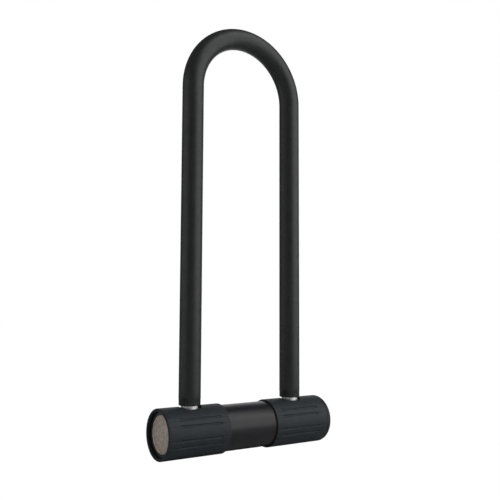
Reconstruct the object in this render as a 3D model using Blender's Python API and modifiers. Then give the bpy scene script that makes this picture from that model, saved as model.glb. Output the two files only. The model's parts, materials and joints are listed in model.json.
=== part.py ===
"""U lock with a rotating locking bar, a disc detainer key cylinder and a built-in alarm.

Metres, +Z up. The pieces are modelled in the lock's own frame: +X runs along the crossbar's axis from
the alarm end to the key end, +Z points from the crossbar up to the bend of the shackle, and zero is on
that axis, midway between the feet. An empty then carries them all, so that the world's origin is under the
crossbar, at the middle of the lock's length. A place is (x, y, z), and a pair of ends is (low, high).
At rest the lock is unlocked: the shackle is seated and its feet are free to leave the crossbar.
"""

from math import acos, cos, pi, radians, sin, tan

import bmesh
import bpy
from mathutils import Matrix, Vector

# Driving dimensions -----------------------------------------------------------------------------
FIT = 0.0003                  # gap between neighbouring pieces
RUNNING_FIT = 0.0001          # radial gap of a turning or pressed journal
EDGE = 0.0003                 # small edge bevel of the inner pieces

# Shackle
LEG_SPACING = 0.102           # between the axes of the shackle's legs
STEEL_RADIUS = 0.007          # bare shackle
COVER_RADIUS = 0.009          # shackle with its vinyl cover
SHACKLE_TOP = 0.345           # crossbar axis to the cover's outer side at the bend
COVER_BOTTOM = 0.0210         # height at which the cover stops
FOOT_BOTTOM = -0.0105         # height of the feet's tips
FOOT_CHAMFER = 0.0016
BEND_STEPS = 20

# Crossbar shell
TUBE_RADIUS = 0.0189          # slim middle of the crossbar
TUBE_WALL = 0.0030
TUBE_ENDS = (-0.0744, 0.0785)
SLEEVE_RADIUS = 0.0203
SLEEVE_LEFT = -0.0795
SLEEVE_INNER_END = 0.0233     # both sleeves stop this far from the middle
LEFT_SLEEVE_BEVELS = (0.0008, 0.0006)
RIGHT_SLEEVE_BEVELS = (0.0006, 0.0002)
LIP_RADIUS = 0.0180           # the left sleeve's lip, which holds the bezel ring in
GROOVE_ANGLES = (-24.0, -8.5, 22.5, 38.0)   # degrees above the crossbar's front, around its axis
GROOVE_DEPTH = 0.0005
GROOVE_WIDTH = 0.0011
GROOVE_LEFT_ENDS = (-0.0675, -0.0315)
GROOVE_RIGHT_ENDS = (0.0310, 0.0685)
FOOT_HOLE_RADIUS = 0.0096
SOCKET_ENDS = (-0.0124, 0.0174)             # bottom and top of the cups that take the feet
SOCKET_GAP = 0.00035          # around a foot
SOCKET_MOUTH = 0.0006         # chamfer that guides the foot in
SOCKET_EDGE = 0.0010
WIPER_RADIUS = 0.0085
WIPER_GAP = 0.0002
WIPER_HEIGHT = 0.0006

# Right end
END_RIGHT = 0.0840            # outer face of the end cap
END_ROUNDING = 0.0046
KEYHOLE_RADIUS = 0.0042
PLATE_ENDS = (0.0830, 0.0839)               # face plate, along X
PLATE_RADIUS = 0.0153
PLATE_SLOT = (0.0038, -0.0038, 0.0133)      # half width, bottom and top of its slot
DUST_COVER_ENDS = (0.0817, 0.0827)          # sliding dust cover behind the plate, along X
DUST_COVER_HALF = 0.0051      # half its width
DUST_COVER_HEIGHTS = (-0.0050, 0.0048)
DUST_COVER_STOP = 0.0144      # height that its top edge reaches when it is open
THUMB_RADIUS = 0.0034
THUMB_ENDS = (0.0825, 0.0837)
THUMB_RIB = 0.0014            # spacing of the thumb piece's grooves
THUMB_GROOVE_RADIUS = 0.0004
SCREW_PLACES = ((-0.0115, -0.005), (0.0115, -0.005))   # (y, z) of the end cap's screws
SCREW_ENDS = (0.0734, 0.0826)
SCREW_HEAD = (0.0021, 0.0013, 0.0005)       # radius, height and bevel
SCREW_SLOT = (0.0003, 0.0004)               # half width and depth
SCREW_RADIUS = 0.0012

# Left end
SPIGOT_RADIUS = 0.0144        # the bezel ring's part inside the tube
BEZEL_ENDS = (-0.0768, -0.0699)
BEZEL_SEAT = 0.0136           # radius of the shoulder behind the badge
BADGE_RADIUS = 0.0151
BADGE_ENDS = (-0.0763, -0.0754)
O_RING_X = -0.0720
O_RING_RADIUS = 0.00055
SOUNDER_DISC = (0.0128, 0.0006)             # radius and thickness
SOUNDER_X = -0.0736
SOUNDER_HOUSING_ENDS = (-0.0729, -0.0675)
SOUNDER_HOUSING_RADIUS = 0.0132
SOUNDER_HOUSING_WALL = 0.0012

# Alarm electronics
BOARD_X = -0.0654
BOARD_RADIUS = 0.0150
BOARD_THICKNESS = 0.0012
SWITCH_X = -0.0626
SWITCH_LIFT = 0.0012          # travel of the micro switch's button
SWITCH_BODY = ((-0.0025, 0.0053), (-0.0026, 0.0026))   # its ends along Y and Z
SWITCH_DEPTH = 0.0034
BUTTON_RADIUS = 0.0007
BUTTON_LENGTH = 0.0023
BUTTON_BORE = 0.0010
CAM_RADIUS = 0.0023           # smallest radius of the switch cam
CAM_THICKNESS = 0.0014
CHIP = ((-0.0085, -0.0025), (0.0045, 0.0105))          # its ends along Y and Z
SENSOR_PLACE = (0.0035, 0.0095)
SENSOR_SIZE = (0.0021, 0.0030)              # radius and height
BATTERY_RADIUS = 0.0084
BATTERY_HALF = 0.0171
BATTERY_Y = -0.0045
TERMINAL = (0.0032, 0.001)    # radius and height of the cell's raised end
TRAY_LENGTH = 0.044
TRAY_WALL = 0.0014
TRAY_ANGLES = (180, 300)      # degrees around the battery's axis, from the back towards the front
CONTACT = ((0.0175, -0.0085, -0.0035), (0.0180, -0.0005, 0.0035))
SPRING_ENDS = (-0.0225, -0.0178)
SPRING_RADIUS = 0.0030
SPRING_TURNS = 3
SPRING_WIRE_RADIUS = 0.00035
WIRE_RADIUS = 0.0006
WIRE_BEND = 0.002
WIRE_PLACES = {"red": (-0.0112, -0.0073), "black": (-0.0112, -0.0053)}   # (y, z) of their long runs
WIRE_ENDS = {"red": -0.0232, "black": -0.0252}

# Locking bar
BAR_Y = 0.0096                # axis of the locking bar, behind the feet
BAR_RADIUS = 0.0046
BAR_FLAT = 0.00225            # from the bar's axis to its milled flats
BAR_FLAT_HALF = 0.010         # half the length of each flat, along the bar
BAR_JOURNAL = 0.0015
BAR_ENDS = (-0.0610, 0.0610)  # of its thick part, between the journals
BAR_BEVEL = 0.0004
JOURNAL_ENDS = (-0.0636, 0.0678)
BEARING_CENTRES = (-0.0365, 0.0365)
BEARING_THICKNESS = 0.004
WIRE_HOLE = (0.0020, (-0.0112, -0.0063))    # radius and (y, z) of the way through the left bearing
GEAR_MODULE = 0.0008
GEAR_PRESSURE = 25.0          # degrees
GEAR_TIP = 0.75               # modules beyond the pitch circle
GEAR_ROOT = 1.15              # modules inside it
GEAR_BACKLASH = 0.00012
PLUG_TEETH = 16
BAR_TEETH = 8                 # the bar turns twice as far as the plug
GEAR_ENDS = (0.0617, 0.0643)

# Key cylinder
HOUSING_ENDS = (0.0660, 0.0795)
HOUSING_WALL = 0.0030         # left wall of the cylinder housing
SEAT_DEPTH = 0.0022           # of the locking bar's journal in that wall
PLUG_RADIUS = 0.0080
PLUG_ENDS = (0.0693, 0.0796)
PLUG_CAVITY = 0.0058
PLUG_FLOOR = 0.0010
PLUG_TAIL = 0.0029
CLIP_RADII = (0.0031, 0.0046)
CLIP_THICKNESS = 0.0005
PIN_RADIUS = 0.0015           # pins that hold the housing in the tube
PIN_X = 0.0735
PIN_HEIGHTS = (0.0129, 0.0184)
DISC_RADIUS = 0.0054
DISC_COUNT = 5
DISC_PITCH = 0.0016
DISC_THICKNESS = 0.0010
DISC_FIRST = 0.0706
DISC_TURN = 30.0              # degrees that the discs turn, which lifts the sidebar
SPACER_BORE = 0.0030
SPACER_NOTCH = 12.0           # half the spacers' notch, in degrees
KEY_RADIUS = 0.0024
KEY_ARC = (-60, 240)          # degrees that the round part of the key's way covers
SIDEBAR_LIFT = 0.0010
SIDEBAR_HALF = 0.0004         # half its thickness
SIDEBAR_EDGES = (0.00505, 0.00775)          # its inner and outer edge, from the axis
SIDEBAR_REACH = 0.0091        # depth of its grooves in the housing, from the axis
NOTCH_FLOOR = 0.0046          # from the axis to the deepest point of a disc's notch
KEYWAY_PLATE = 0.0007         # thickness

LEG_X = LEG_SPACING / 2
TUBE_BORE = TUBE_RADIUS - TUBE_WALL
INSERT_RADIUS = TUBE_BORE - FIT
DISCS_END = DISC_FIRST + DISC_PITCH * DISC_COUNT
BUTTON_TIP = BAR_Y - CAM_RADIUS - FIT
BEYOND = 0.010                # how far a cutter passes the surface it cuts


# Scene and materials ----------------------------------------------------------------------------
def clear_scene():
    for obj in list(bpy.data.objects):
        bpy.data.objects.remove(obj)


def new_collection(name):
    collection = bpy.data.collections.new(name)
    bpy.context.scene.collection.children.link(collection)
    return collection


def material(name, colour, roughness, metallic=0.0):
    made = bpy.data.materials.new(name)
    made.use_nodes = True
    shader = made.node_tree.nodes["Principled BSDF"]
    shader.inputs["Base Color"].default_value = (*colour, 1.0)
    shader.inputs["Roughness"].default_value = roughness
    shader.inputs["Metallic"].default_value = metallic
    made.diffuse_color = (*colour, 1.0)
    return made


clear_scene()
PARTS = new_collection("u_lock")
CUTTERS = new_collection("cutters")
MATERIALS = {
    "steel": material("hardened_steel", (0.62, 0.62, 0.61), 0.22, 1.0),
    "vinyl": material("black_vinyl", (0.030, 0.030, 0.031), 0.42),
    "tube": material("black_coated_tube", (0.052, 0.050, 0.054), 0.33),
    "sleeve": material("charcoal_plastic", (0.032, 0.037, 0.039), 0.55),
    "badge": material("satin_badge", (0.40, 0.37, 0.34), 0.35, 0.9),
    "gloss": material("gloss_black_plastic", (0.012, 0.012, 0.013), 0.18),
    "rubber": material("black_rubber", (0.020, 0.020, 0.020), 0.75),
    "acetal": material("grey_acetal", (0.20, 0.20, 0.20), 0.50),
    "brass": material("brass", (0.66, 0.50, 0.22), 0.30, 1.0),
    "zinc": material("die_cast_zinc", (0.45, 0.46, 0.47), 0.42, 1.0),
    "board": material("green_circuit_board", (0.02, 0.16, 0.07), 0.45),
    "chip": material("black_epoxy", (0.02, 0.02, 0.02), 0.50),
    "battery": material("battery_wrap", (0.05, 0.11, 0.24), 0.35),
    "red": material("red_insulation", (0.45, 0.02, 0.02), 0.50),
    "black": material("black_insulation", (0.02, 0.02, 0.02), 0.50),
}


# Modelling helpers ------------------------------------------------------------------------------
def link(obj, collection=None):
    for old in list(obj.users_collection):
        old.objects.unlink(obj)
    (collection or PARTS).objects.link(obj)
    return obj


def new_object(name, data, finish=None):
    obj = bpy.data.objects.new(name, data)
    PARTS.objects.link(obj)
    if finish:
        data.materials.append(MATERIALS[finish])
    return obj


def apply_modifiers(obj):
    """Turns an object with modifiers, or a curve, into a plain welded mesh object of the same name."""
    name = obj.name
    bpy.context.view_layer.update()
    matrix = obj.matrix_world.copy()
    graph = bpy.context.evaluated_depsgraph_get()
    mesh = bpy.data.meshes.new_from_object(obj.evaluated_get(graph), depsgraph=graph)
    bm = bmesh.new()
    bm.from_mesh(mesh)
    bmesh.ops.remove_doubles(bm, verts=bm.verts, dist=1e-7)
    bmesh.ops.recalc_face_normals(bm, faces=bm.faces)
    bm.to_mesh(mesh)
    bm.free()
    collection = obj.users_collection[0]
    bpy.data.objects.remove(obj)
    made = bpy.data.objects.new(name, mesh)
    made.name = name
    collection.objects.link(made)
    made.matrix_world = matrix
    return made


def smooth(obj, angle=35.0):
    obj.data.shade_smooth()
    obj.data.set_sharp_from_angle(angle=radians(angle))
    return obj


def along_x(obj, x=0.0, y=0.0, z=0.0):
    """Lays an object along the crossbar: its own +Z becomes +X and its own +X becomes -Z."""
    obj.matrix_world = Matrix.Translation((x, y, z)) @ Matrix.Rotation(pi / 2, 4, "Y")
    return obj


def turned(name, profile, finish, steps=40, closed=True):
    """A body of revolution about its own Z, from (radius, height) points that run down its outer side.

    A closed profile is a ring's section. An open one starts and ends on the axis.
    """
    points = [(radius, 0.0, height) for radius, height in profile]
    edges = [(i, i + 1) for i in range(len(points) - 1)]
    if closed:
        edges.append((len(points) - 1, 0))
    mesh = bpy.data.meshes.new(name)
    mesh.from_pydata(points, edges, [])
    obj = new_object(name, mesh, finish)
    screw = obj.modifiers.new("Screw", "SCREW")
    screw.steps = steps
    screw.render_steps = steps
    screw.use_merge_vertices = True
    screw.merge_threshold = 1e-6
    return smooth(apply_modifiers(obj))


def rod(name, radius, length, finish=None, segments=24):
    """A solid cylinder about its own Z, centred on its origin."""
    mesh = bpy.data.meshes.new(name)
    bm = bmesh.new()
    ends = {"radius1": radius, "radius2": radius}
    bmesh.ops.create_cone(bm, cap_ends=True, segments=segments, depth=length, **ends)
    bm.to_mesh(mesh)
    bm.free()
    return smooth(new_object(name, mesh, finish))


def box(name, low, high, finish=None, bevel=0.0):
    mesh = bpy.data.meshes.new(name)
    bm = bmesh.new()
    bmesh.ops.create_cube(bm, size=1.0)
    size = Vector(high) - Vector(low)
    bmesh.ops.scale(bm, vec=size, verts=bm.verts)
    bm.to_mesh(mesh)
    bm.free()
    obj = new_object(name, mesh, finish)
    obj.location = (Vector(low) + Vector(high)) / 2
    if bevel:
        rounding = obj.modifiers.new("Bevel", "BEVEL")
        rounding.width = bevel
        rounding.segments = 2
    return obj


def outline(name, loops, thickness, finish):
    """A flat plate in its own XY plane, from closed loops of (x, y): first its edge, then its holes."""
    curve = bpy.data.curves.new(name, "CURVE")
    curve.dimensions = "2D"
    curve.fill_mode = "BOTH"
    curve.extrude = thickness / 2
    for loop in loops:
        spline = curve.splines.new("POLY")
        spline.points.add(len(loop) - 1)
        for point, (x, y) in zip(spline.points, loop):
            point.co = (x, y, 0.0, 1.0)
        spline.use_cyclic_u = True
    return smooth(apply_modifiers(new_object(name, curve, finish)))


def facing_x(obj, x):
    """Stands a plate across the crossbar at x: its own x becomes +Y, its own y becomes +Z."""
    axes = Matrix(((0, 0, 1), (1, 0, 0), (0, 1, 0))).to_4x4()
    obj.matrix_world = Matrix.Translation((x, 0.0, 0.0)) @ axes
    return obj


def circle(radius, count, centre=(0.0, 0.0)):
    angles = [2 * pi * i / count for i in range(count)]
    return [(centre[0] + radius * cos(a), centre[1] + radius * sin(a)) for a in angles]


def wire(name, points, radius, finish):
    curve = bpy.data.curves.new(name, "CURVE")
    curve.dimensions = "3D"
    curve.bevel_depth = radius
    curve.bevel_resolution = 2
    curve.use_fill_caps = True
    spline = curve.splines.new("POLY")
    spline.points.add(len(points) - 1)
    for point, place in zip(spline.points, points):
        point.co = (*place, 1.0)
    return smooth(apply_modifiers(new_object(name, curve, finish)))


def combine(obj, other, operation):
    """Cuts obj with other, or joins other to it, and bakes the result."""
    if operation == "DIFFERENCE":
        link(other, CUTTERS)
        other.hide_render = True
        other.display_type = "WIRE"
    modifier = obj.modifiers.new(operation.title(), "BOOLEAN")
    modifier.operation = operation
    modifier.solver = "EXACT"
    modifier.object = other
    made = smooth(apply_modifiers(obj))
    if operation == "UNION":
        bpy.data.objects.remove(other)
    return made


def cut(obj, *cutters):
    for cutter in cutters:
        obj = combine(obj, cutter, "DIFFERENCE")
    return obj


def drill(name, radius, start, end, segments=24):
    """A cutter: a cylinder from start to end, both (x, y, z)."""
    start, end = Vector(start), Vector(end)
    cutter = rod(name, radius, (end - start).length, segments=segments)
    turn = Vector((0, 0, 1)).rotation_difference(end - start).to_matrix().to_4x4()
    cutter.matrix_world = Matrix.Translation((start + end) / 2) @ turn
    return cutter


def drill_along_x(name, radius, place, ends, segments=24):
    return drill(name, radius, (ends[0], *place), (ends[1], *place), segments)


def middle(ends):
    return (ends[0] + ends[1]) / 2


def around_x(radius, degrees, x):
    """A point at this angle above the crossbar's front, around its axis."""
    return Vector((x, -radius * cos(radians(degrees)), radius * sin(radians(degrees))))


# Crossbar shell ---------------------------------------------------------------------------------
def foot_hole(name, x):
    return drill(name, FOOT_HOLE_RADIUS, (x, 0, 0), (x, 0, SLEEVE_RADIUS + BEYOND))


def pin_hole(name, side, depth):
    top = SLEEVE_RADIUS + BEYOND
    return drill(name, PIN_RADIUS + FIT, (PIN_X, 0, side * top), (PIN_X, 0, side * depth), 12)


def crossbar_tube():
    left, right = TUBE_ENDS
    profile = [(TUBE_BORE, right), (TUBE_RADIUS, right), (TUBE_RADIUS, left), (TUBE_BORE, left)]
    tube = along_x(turned("crossbar_tube", profile, "tube", 48))
    for side in (-1, 1):
        tube = cut(tube, foot_hole("tube_foot_hole", side * LEG_X))
        tube = cut(tube, pin_hole("tube_pin_hole", side, TUBE_BORE / 2))
    return tube


def groove_cutter(angle, ends):
    """A slot with round ends, sunk into the sleeve's surface along the crossbar."""
    half = (ends[1] - ends[0]) / 2
    radius = GROOVE_WIDTH / 2
    arc = [pi * i / 3 for i in range(4)]
    right = [(half - radius + radius * sin(a), -radius * cos(a)) for a in arc]
    left = [(radius - half - radius * sin(a), radius * cos(a)) for a in arc]
    cutter = outline("groove", [right + left], 4 * GROOVE_DEPTH, None)
    outward = around_x(1.0, angle, 0.0)
    along = Vector((1, 0, 0))
    across = outward.cross(along)
    axes = Matrix((along, across, outward)).transposed().to_4x4()
    centre = around_x(SLEEVE_RADIUS + GROOVE_DEPTH, angle, sum(ends) / 2)
    cutter.matrix_world = Matrix.Translation(centre) @ axes
    return cutter


def sleeve(name, ends, outer_bevel, groove_ends, foot_x, lip=()):
    """A grooved sleeve over one end of the tube; lip is the section of an inward lip at its left end."""
    left, right = ends
    inner = TUBE_RADIUS + FIT
    bevel_left, bevel_right = outer_bevel
    profile = [
        (inner, right), (SLEEVE_RADIUS - bevel_right, right), (SLEEVE_RADIUS, right - bevel_right),
        (SLEEVE_RADIUS, left + bevel_left), (SLEEVE_RADIUS - bevel_left, left),
        *(lip or ((inner, left),)),
    ]
    made = along_x(turned(name, profile, "sleeve", 48))
    made = cut(made, foot_hole("sleeve_foot_hole", foot_x))
    for angle in GROOVE_ANGLES:
        made = cut(made, groove_cutter(angle, groove_ends))
        made = cut(made, groove_cutter(180 - angle, groove_ends))
    return made


def foot_socket(name, x):
    """A cup that guides one foot, with a window at the back for the locking bar."""
    outer = FOOT_HOLE_RADIUS - FIT
    inner = STEEL_RADIUS + SOCKET_GAP
    bottom, top = SOCKET_ENDS
    floor = FOOT_BOTTOM - FIT
    profile = [
        (inner + SOCKET_MOUTH, top), (outer, top), (outer, bottom + SOCKET_EDGE),
        (outer - SOCKET_EDGE, bottom), (0.0, bottom), (0.0, floor), (inner, floor),
        (inner, top - SOCKET_MOUTH),
    ]
    cup = turned(name, profile, "acetal", 24)
    cup.location = (x, 0, 0)
    ends = (x - BEYOND - outer, x + BEYOND + outer)
    window = drill_along_x("bar_window", BAR_RADIUS + FIT + RUNNING_FIT, (BAR_Y, 0), ends)
    return cut(cup, window)


def wiper_ring(name, x):
    """A thin rubber ring on top of the socket, close around the foot."""
    inner = STEEL_RADIUS + WIPER_GAP
    low = SOCKET_ENDS[1] + FIT
    high = low + WIPER_HEIGHT
    profile = [(inner, high), (WIPER_RADIUS, high), (WIPER_RADIUS, low), (inner, low)]
    ring = turned(name, profile, "rubber", 24)
    ring.location = (x, 0, 0)
    return ring


# Right end: cap, face plate, sliding cover --------------------------------------------------------
def end_cap():
    shelf = PLATE_ENDS[0] - RUNNING_FIT
    left = TUBE_ENDS[1] + FIT
    inside = HOUSING_ENDS[1] + FIT
    flat = SLEEVE_RADIUS - END_ROUNDING
    arc = [radians(90 * i / 5) for i in range(6)]
    rounded = [(flat + END_ROUNDING * sin(a), END_RIGHT - END_ROUNDING * (1 - cos(a))) for a in arc]
    recess = PLATE_RADIUS + FIT
    profile = [
        (KEYHOLE_RADIUS, shelf), (recess, shelf), (recess, END_RIGHT), *rounded,
        (SLEEVE_RADIUS, left), (TUBE_BORE, left), (TUBE_BORE, inside), (KEYHOLE_RADIUS, inside),
    ]
    cap = along_x(turned("end_cap", profile, "sleeve", 40))
    half = DUST_COVER_HALF + FIT
    low = (DUST_COVER_ENDS[0] - FIT, -half, DUST_COVER_HEIGHTS[0] - FIT - RUNNING_FIT)
    high = (END_RIGHT + BEYOND, half, DUST_COVER_STOP + FIT)
    cap = cut(cap, box("cover_pocket", low, high))
    head_radius, head_height, _ = SCREW_HEAD
    seat = SCREW_ENDS[1] - head_height - FIT
    outside = END_RIGHT + BEYOND
    for place in SCREW_PLACES:
        hole = drill_along_x("screw_hole", SCREW_RADIUS + FIT, place, (left - BEYOND, outside), 12)
        head_seat = drill_along_x("screw_seat", head_radius + FIT, place, (seat, outside), 12)
        cap = cut(cap, hole, head_seat)
    return cap


def slot_loop(half_width, low, high, count=8):
    """A slot with round ends that stands along Z."""
    arc = [pi * i / count for i in range(count + 1)]
    top = [(half_width * cos(a), high - half_width + half_width * sin(a)) for a in arc]
    bottom = [(-half_width * cos(a), low + half_width - half_width * sin(a)) for a in arc]
    return top + bottom


def face_plate():
    loops = [circle(PLATE_RADIUS, 40), slot_loop(*PLATE_SLOT)]
    plate = outline("end_face_plate", loops, PLATE_ENDS[1] - PLATE_ENDS[0], "zinc")
    return facing_x(plate, middle(PLATE_ENDS))


def dust_cover():
    """A slide behind the face plate, with a ribbed thumb piece that comes through the plate's slot."""
    low = (DUST_COVER_ENDS[0], -DUST_COVER_HALF, DUST_COVER_HEIGHTS[0])
    high = (DUST_COVER_ENDS[1], DUST_COVER_HALF, DUST_COVER_HEIGHTS[1])
    base = box("dust_cover", low, high, "gloss", EDGE)
    thumb = outline("thumb", [circle(THUMB_RADIUS, 24)], THUMB_ENDS[1] - THUMB_ENDS[0], "gloss")
    cover = combine(apply_modifiers(base), facing_x(thumb, middle(THUMB_ENDS)), "UNION")
    face = THUMB_ENDS[1] + RUNNING_FIT
    side = 2 * THUMB_RADIUS
    for z in (-THUMB_RIB, 0.0, THUMB_RIB):
        groove = drill("thumb_groove", THUMB_GROOVE_RADIUS, (face, -side, z), (face, side, z), 12)
        cover = cut(cover, groove)
    return cover


def end_cap_screw(name, place):
    y, z = place
    tip, top = SCREW_ENDS
    head_radius, head_height, bevel = SCREW_HEAD
    seat = top - head_height
    profile = [
        (0.0, top), (head_radius - bevel, top), (head_radius, top - bevel), (head_radius, seat),
        (SCREW_RADIUS, seat), (SCREW_RADIUS, tip + SCREW_RADIUS / 2), (0.0, tip),
    ]
    screw = along_x(turned(name, profile, "steel", 12, closed=False), 0.0, y, z)
    slot_half, slot_depth = SCREW_SLOT
    low = (top - slot_depth, y - slot_half, z - 2 * head_radius)
    high = (top + BEYOND, y + slot_half, z + 2 * head_radius)
    return cut(screw, box("screw_slot", low, high))


# Left end: badge and sounder -----------------------------------------------------------------------
def bezel_ring():
    bore = BADGE_RADIUS + FIT
    front, back = BEZEL_ENDS
    shoulder, ledge = TUBE_ENDS[0] - FIT, BADGE_ENDS[1] + FIT
    profile = [
        (BEZEL_SEAT, back), (SPIGOT_RADIUS, back), (SPIGOT_RADIUS, shoulder), (TUBE_RADIUS, shoulder),
        (TUBE_RADIUS, front), (bore, front), (bore, ledge), (BEZEL_SEAT, ledge),
    ]
    return along_x(turned("bezel_ring", profile, "gloss", 40))


def badge_disc():
    front, back = BADGE_ENDS
    profile = [
        (0.0, back), (BADGE_RADIUS, back), (BADGE_RADIUS, front + EDGE), (BADGE_RADIUS - EDGE, front),
        (0.0, front),
    ]
    return along_x(turned("badge_disc", profile, "badge", 40, closed=False))


def ring(name, major, minor, x, finish, steps=28):
    profile = [(major + minor * cos(a), -minor * sin(a)) for a in [2 * pi * i / 6 for i in range(6)]]
    return along_x(turned(name, profile, finish, steps), x)


def sounder():
    radius, thickness = SOUNDER_DISC
    disc = rod("sounder_disc", radius, thickness, "brass", 24)
    along_x(disc, SOUNDER_X)
    front, back = SOUNDER_HOUSING_ENDS
    outer = SOUNDER_HOUSING_RADIUS
    inner, floor = outer - SOUNDER_HOUSING_WALL, back - SOUNDER_HOUSING_WALL
    profile = [(outer, back), (outer, front), (inner, front), (inner, floor), (0.0, floor), (0.0, back)]
    return disc, along_x(turned("sounder_housing", profile, "gloss", 24))


# Alarm electronics -----------------------------------------------------------------------------------
def circuit_board():
    board = rod("circuit_board", BOARD_RADIUS, BOARD_THICKNESS, "board", 32)
    return along_x(board, BOARD_X)


def board_parts():
    face = BOARD_X + BOARD_THICKNESS / 2 + RUNNING_FIT
    (front, back), (bottom, top) = CHIP
    chip_face = face + BOARD_THICKNESS
    chip = box("controller_chip", (face, front, bottom), (chip_face, back, top), "chip", EDGE / 3)
    radius, height = SENSOR_SIZE
    sensor = rod("shock_sensor", radius, height, "brass", 20)
    along_x(sensor, face + height / 2, *SENSOR_PLACE)
    (front, back), (bottom, top) = SWITCH_BODY
    body = box("switch_body", (face, front, bottom), (face + SWITCH_DEPTH, back, top), "gloss")
    bore_floor = BUTTON_TIP - BUTTON_LENGTH - SWITCH_LIFT - 2 * FIT
    bore = drill("button_bore", BUTTON_BORE, (SWITCH_X, bore_floor, 0), (SWITCH_X, back + BEYOND, 0), 16)
    return chip, sensor, cut(body, bore)


def switch_button():
    profile = [
        (0.0, 0.0), (BUTTON_RADIUS - EDGE, 0.0), (BUTTON_RADIUS, -EDGE),
        (BUTTON_RADIUS, -BUTTON_LENGTH), (0.0, -BUTTON_LENGTH),
    ]
    button = turned("switch_button", profile, "red", 16, closed=False)
    place = Matrix.Translation((SWITCH_X, BUTTON_TIP, 0))
    button.matrix_world = place @ Matrix.Rotation(-pi / 2, 4, "X")
    return button


def switch_cam():
    """A heart-shaped cam: its radius grows evenly over half a turn and shrinks evenly over the rest."""
    count = 36
    loop = []
    for i in range(count):
        turn = 2 * pi * i / count
        rise = SWITCH_LIFT * (1 - abs(turn / pi - 1))
        radius = CAM_RADIUS + rise
        loop.append((-radius * cos(turn), -radius * sin(turn)))
    hole = circle(BAR_JOURNAL + RUNNING_FIT, 16)
    cam = outline("switch_cam", [loop, hole], CAM_THICKNESS, "acetal")
    return at_bar(facing_x(cam, SWITCH_X))


def at_bar(obj):
    obj.matrix_world = Matrix.Translation((0, BAR_Y, 0)) @ obj.matrix_world
    return obj


def battery():
    """A cell with a raised terminal at its +X end."""
    terminal, height = TERMINAL
    shoulder = BATTERY_HALF - height
    profile = [
        (0.0, BATTERY_HALF), (terminal, BATTERY_HALF), (terminal, shoulder),
        (BATTERY_RADIUS - BAR_BEVEL, shoulder), (BATTERY_RADIUS, shoulder - BAR_BEVEL),
        (BATTERY_RADIUS, -BATTERY_HALF), (0.0, -BATTERY_HALF),
    ]
    return along_x(turned("battery", profile, "battery", 24, closed=False), 0.0, BATTERY_Y)


def battery_tray():
    """A trough under the battery, with the space for the locking bar left open."""
    inner = BATTERY_RADIUS + FIT
    outer = inner + TRAY_WALL
    first, last = TRAY_ANGLES
    count = 16
    angles = [radians(first + (last - first) * i / count) for i in range(count + 1)]
    edge = [(BATTERY_Y + outer * cos(a), outer * sin(a)) for a in angles]
    back = [(BATTERY_Y + inner * cos(a), inner * sin(a)) for a in reversed(angles)]
    return facing_x(outline("battery_tray", [edge + back], TRAY_LENGTH, "acetal"), 0.0)


def battery_contacts():
    plate = box("battery_contact", *CONTACT, "brass")
    count = 30
    start, end = SPRING_ENDS
    points = []
    for i in range(count + 1):
        part = i / count
        turn = 2 * pi * SPRING_TURNS * part
        y, z = BATTERY_Y + SPRING_RADIUS * cos(turn), SPRING_RADIUS * sin(turn)
        points.append((start + (end - start) * part, y, z))
    return plate, wire("battery_spring", points, SPRING_WIRE_RADIUS, "steel")


def wires():
    """Two wires from the board, past the left foot and through the left bearing, to the battery."""
    bend = WIRE_BEND
    start = BOARD_X + BOARD_THICKNESS / 2 + FIT + RUNNING_FIT
    for colour, (y, z) in WIRE_PLACES.items():
        end = WIRE_ENDS[colour]
        points = [
            (start, y + 0.75 * bend, z + bend / 2), (start + bend, y, z), (end - 1.5 * bend, y, z),
            (end, y + bend, z + 1.5 * bend),
        ]
        wire(colour + "_wire", points, WIRE_RADIUS, colour)


# Locking bar and key cylinder -------------------------------------------------------------------------
def locking_bar():
    left, right = BAR_ENDS
    left_end, right_end = JOURNAL_ENDS
    thick, thin = BAR_RADIUS, BAR_JOURNAL
    profile = [
        (0.0, right_end), (thin, right_end), (thin, right), (thick - BAR_BEVEL, right),
        (thick, right - BAR_BEVEL), (thick, left + BAR_BEVEL), (thick - BAR_BEVEL, left), (thin, left),
        (thin, left_end), (0.0, left_end),
    ]
    bar = at_bar(along_x(turned("locking_bar", profile, "steel", 24, closed=False)))
    outside = BAR_RADIUS + BEYOND
    for side in (-1, 1):
        centre = side * LEG_X
        low = (centre - BAR_FLAT_HALF, BAR_Y - outside, -outside)
        high = (centre + BAR_FLAT_HALF, BAR_Y - BAR_FLAT, outside)
        bar = cut(bar, box("bar_flat", low, high))
    return bar


def bar_bearing(name, x):
    """A disc across the tube that carries the locking bar; the left one lets the wires through."""
    loops = [circle(INSERT_RADIUS, 36), circle(BAR_RADIUS + FIT, 24, (BAR_Y, 0.0))]
    if x < 0:
        radius, place = WIRE_HOLE
        loops.append(circle(radius, 12, place))
    return facing_x(outline(name, loops, BEARING_THICKNESS, "acetal"), x)


def gear_loop(teeth, first_tooth):
    """A spur gear's outline with involute flanks, first_tooth being the angle of one tooth's middle."""
    pressure = radians(GEAR_PRESSURE)
    pitch = GEAR_MODULE * teeth / 2
    base = pitch * cos(pressure)
    tip = pitch + GEAR_TIP * GEAR_MODULE
    root = pitch - GEAR_ROOT * GEAR_MODULE
    half_at_pitch = (pi * GEAR_MODULE / 2 - 2 * GEAR_BACKLASH) / (2 * pitch)

    def involute(angle):
        return tan(angle) - angle

    def half_angle(radius):
        flank = acos(min(1.0, base / radius)) if radius > base else 0.0
        return half_at_pitch + involute(pressure) - involute(flank)

    radii = [root, base, pitch, tip]
    loop = []
    for tooth in range(teeth):
        centre = first_tooth + 2 * pi * tooth / teeth
        for radius in radii:
            loop.append((radius, centre - half_angle(radius)))
        for radius in reversed(radii):
            loop.append((radius, centre + half_angle(radius)))
    return [(radius * cos(angle), radius * sin(angle)) for radius, angle in loop]


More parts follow.
